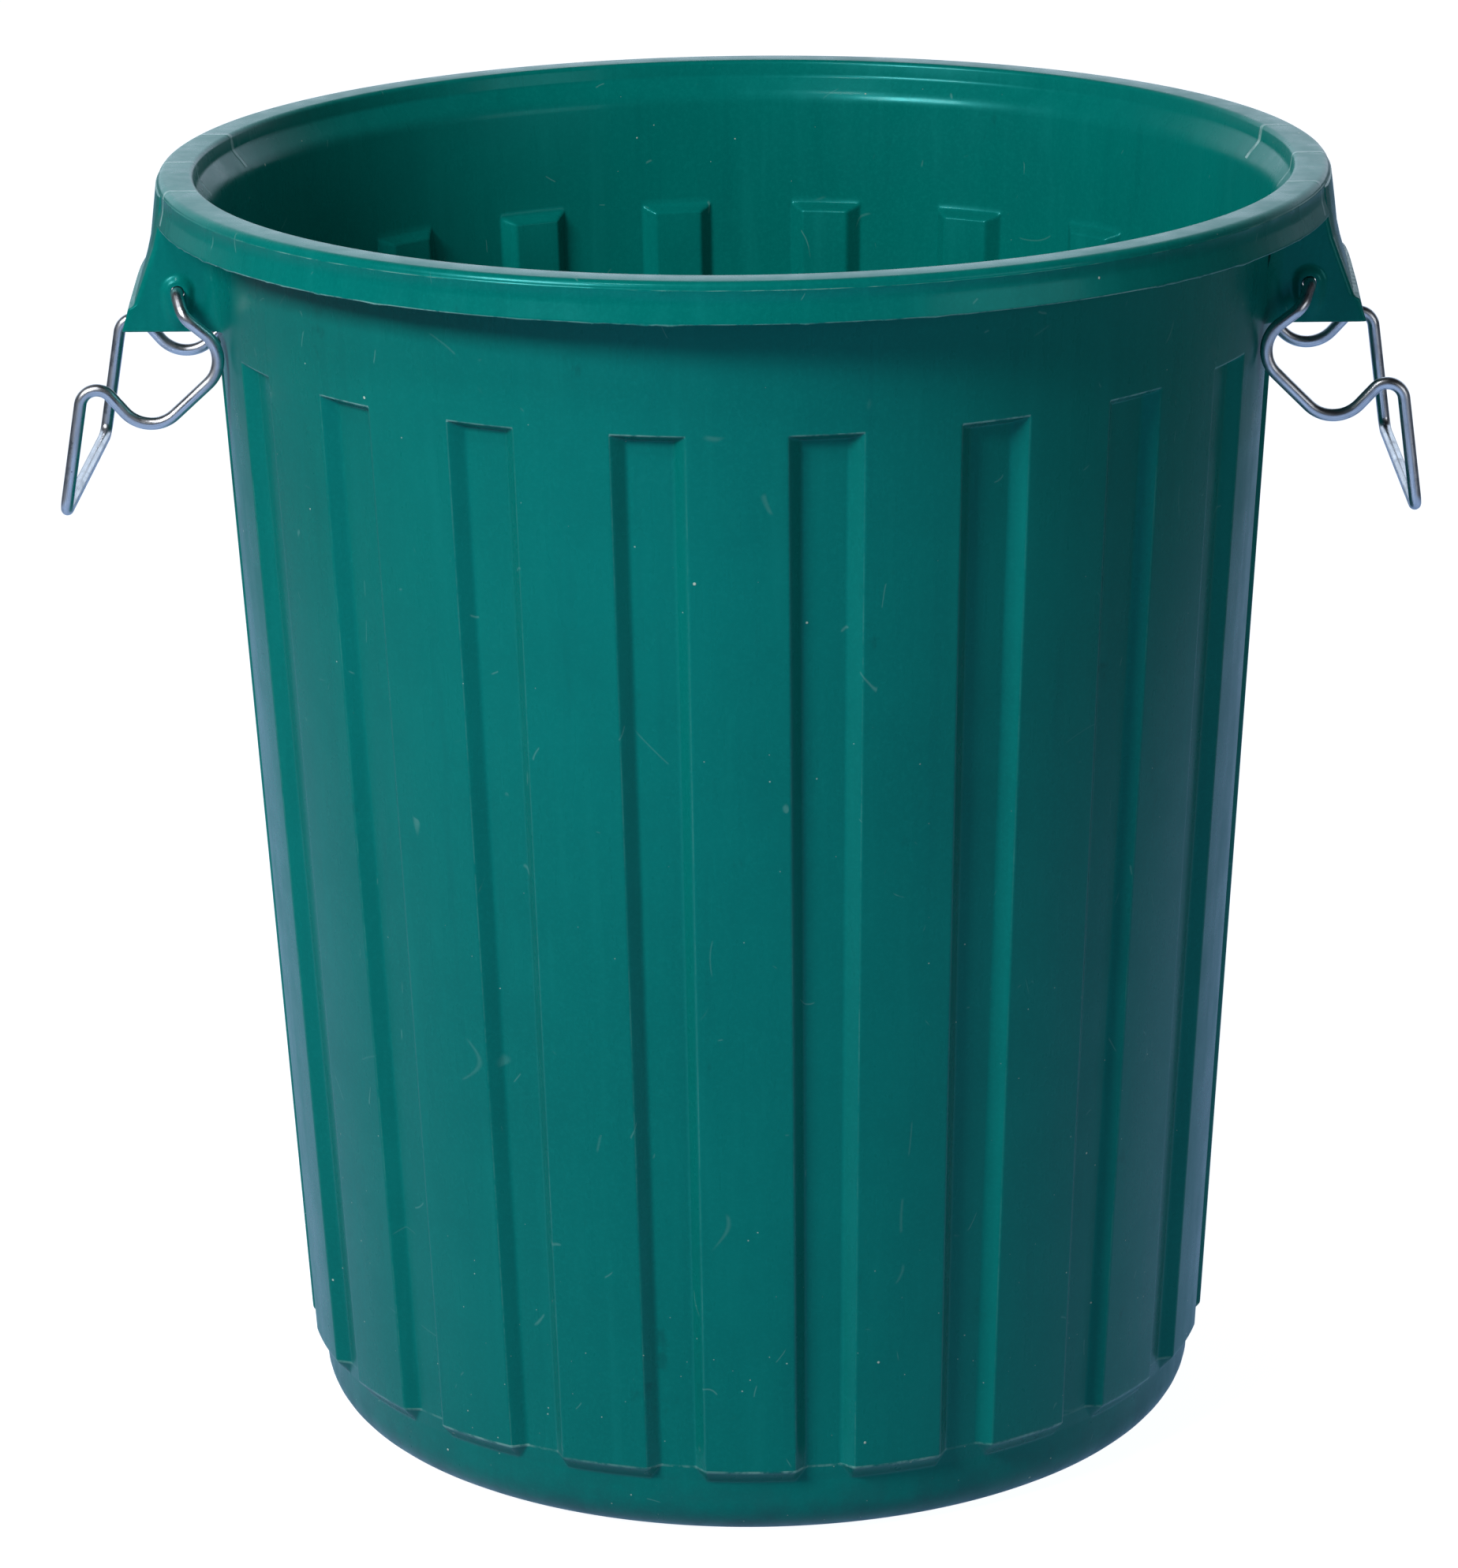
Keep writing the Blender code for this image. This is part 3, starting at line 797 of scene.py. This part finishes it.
def pale_floor():
    """Plain studio paper, lifted to white for the camera and to blue where the plastic mirrors it."""
    g = Graph("pale floor")
    place = g.place()
    grain = g.noise(place, 120.0, 3.0)
    behind = g.fade(g.sums("ABSOLUTE", g.split(place)[0]), 1.6, 0.7)
    g.put(g.shader.inputs["Base Color"], g.tint(grain, *FLOOR_COLOURS))
    g.shader.inputs["Roughness"].default_value = 0.9
    rays = g.node("ShaderNodeLightPath").outputs
    surface = g.shader.outputs[0]
    lifts = (("Is Glossy Ray", FLOOR_GLOW, behind), ("Is Camera Ray", FLOOR_WHITE, 1.0))
    for ray, colour, strength in lifts:
        glow = g.node("ShaderNodeEmission", {"Color": colour, "Strength": strength}).outputs[0]
        lifted = g.node("ShaderNodeAddShader", {0: g.shader.outputs[0], 1: glow}).outputs[0]
        surface = g.node("ShaderNodeMixShader", {0: rays[ray], 1: surface, 2: lifted}).outputs[0]
    g.put(g.tree.nodes["Material Output"].inputs["Surface"], surface)
    return g.material


# ---------------------------------------------------------------- stage, light and camera


def floor():
    data = bpy.data.meshes.new("floor")
    corners = [(x * FLOOR_REACH, y * FLOOR_REACH, 0) for x, y in ((-1, -1), (1, -1), (1, 1), (-1, 1))]
    data.from_pydata(corners, [], [(0, 1, 2, 3)])
    item = bpy.data.objects.new("floor", data)
    bpy.context.scene.collection.objects.link(item)
    item.data.materials.append(pale_floor())


def softbox(name, place, aim, width, height, power):
    data = bpy.data.lights.new(name, "AREA")
    data.shape = "RECTANGLE"
    data.size, data.size_y = width, height
    data.energy = power
    item = bpy.data.objects.new(name, data)
    bpy.context.scene.collection.objects.link(item)
    item.location = place
    item.rotation_euler = (Vector(aim) - Vector(place)).to_track_quat("-Z", "Y").to_euler()
    item.visible_camera = False


def studio():
    """A dim room, a pale blue wall behind the bin, and soft lights: big left, small above, weak right."""
    world = bpy.data.worlds.new("studio")
    bpy.context.scene.world = world
    world.use_nodes = True
    nodes, links = world.node_tree.nodes, world.node_tree.links
    nodes.clear()

    def ramp(value, low, high, start, end):
        made = nodes.new("ShaderNodeMapRange")
        made.interpolation_type = "SMOOTHSTEP"
        for label, number in (("From Min", low), ("From Max", high), ("To Min", start), ("To Max", end)):
            made.inputs[label].default_value = number
        links.new(value, made.inputs["Value"])
        return made.outputs["Result"]

    place = nodes.new("ShaderNodeTexCoord")
    split = nodes.new("ShaderNodeSeparateXYZ")
    links.new(place.outputs["Generated"], split.inputs[0])
    strength = nodes.new("ShaderNodeMath")
    strength.operation = "MULTIPLY"
    links.new(ramp(split.outputs["Y"], 0.35, 0.93, 0.05, 1.25), strength.inputs[0])
    links.new(ramp(split.outputs["Z"], 0.40, 0.70, 1.0, 0.25), strength.inputs[1])

    light = nodes.new("ShaderNodeBackground")
    light.inputs["Color"].default_value = WALL_GLOW
    links.new(strength.outputs[0], light.inputs["Strength"])
    shown = nodes.new("ShaderNodeBackground")
    shown.inputs["Strength"].default_value = 1.0
    shown.inputs["Color"].default_value = (1, 1, 1, 1)
    rays = nodes.new("ShaderNodeLightPath")
    mix = nodes.new("ShaderNodeMixShader")
    out = nodes.new("ShaderNodeOutputWorld")
    links.new(rays.outputs["Is Camera Ray"], mix.inputs[0])
    links.new(light.outputs[0], mix.inputs[1])
    links.new(shown.outputs[0], mix.inputs[2])
    links.new(mix.outputs[0], out.inputs["Surface"])
    for box in SOFTBOXES:
        softbox(*box)


def camera():
    """The view from a little above, 2.4 m in front of the bin."""
    ahead = Vector(CAMERA_AHEAD).normalized()
    level = ahead.cross(Vector((0, 0, 1))).normalized()
    upright = level.cross(ahead)
    right = level * math.cos(CAMERA_ROLL) + upright * math.sin(CAMERA_ROLL)
    up = upright * math.cos(CAMERA_ROLL) - level * math.sin(CAMERA_ROLL)
    turn = Matrix((right, up, -ahead)).transposed()
    data = bpy.data.cameras.new("camera")
    data.sensor_width = CAMERA_SENSOR
    data.lens = CAMERA_LENS
    item = bpy.data.objects.new("camera", data)
    bpy.context.scene.collection.objects.link(item)
    item.matrix_world = Matrix.Translation(CAMERA_PLACE) @ turn.to_4x4()
    bpy.context.scene.camera = item


def drill(piece, pivot):
    """Cuts the pivot hole through both sides of a lug."""
    body = bmesh.new()
    bmesh.ops.create_cone(body, cap_ends=True, segments=DRILL_SIDES, radius1=HOLE_RADIUS,
                          radius2=HOLE_RADIUS, depth=DRILL_LENGTH,
                          matrix=Matrix.Rotation(math.radians(90), 4, "X"))
    data = bpy.data.meshes.new("drill")
    body.to_mesh(data)
    body.free()
    tool = bpy.data.objects.new("drill", data)
    bpy.context.scene.collection.objects.link(tool)
    tool.location = pivot
    cut = piece.modifiers.new("pivot hole", "BOOLEAN")
    cut.operation = "DIFFERENCE"
    cut.object = tool
    bpy.context.view_layer.update()
    result = bpy.data.meshes.new_from_object(piece.evaluated_get(bpy.context.evaluated_depsgraph_get()))
    piece.modifiers.clear()
    piece.data = result
    bpy.data.objects.remove(tool)


def build():
    plastic, wire = shell_plastic(), handle_wire()
    add_piece("tub_moulding", tub_mesh(), "bin", plastic, "bin_shell")
    for side, where in ((1, "right"), (-1, "left")):
        lug = add_piece(f"lug_{where}_moulding", lug_mesh(side), "bin", plastic,
                        "bin_shell")
        body = f"{where}_handle"
        drill(lug, PIVOTS[body])
        data = wire_mesh(f"wire_{where}", handle_path(side), PIVOTS[body])
        add_piece(f"wire_handle_{where}", data, body, wire, f"handle_{where}")
    floor()
    studio()
    camera()
    bpy.context.scene.view_settings.view_transform = "Standard"


build()
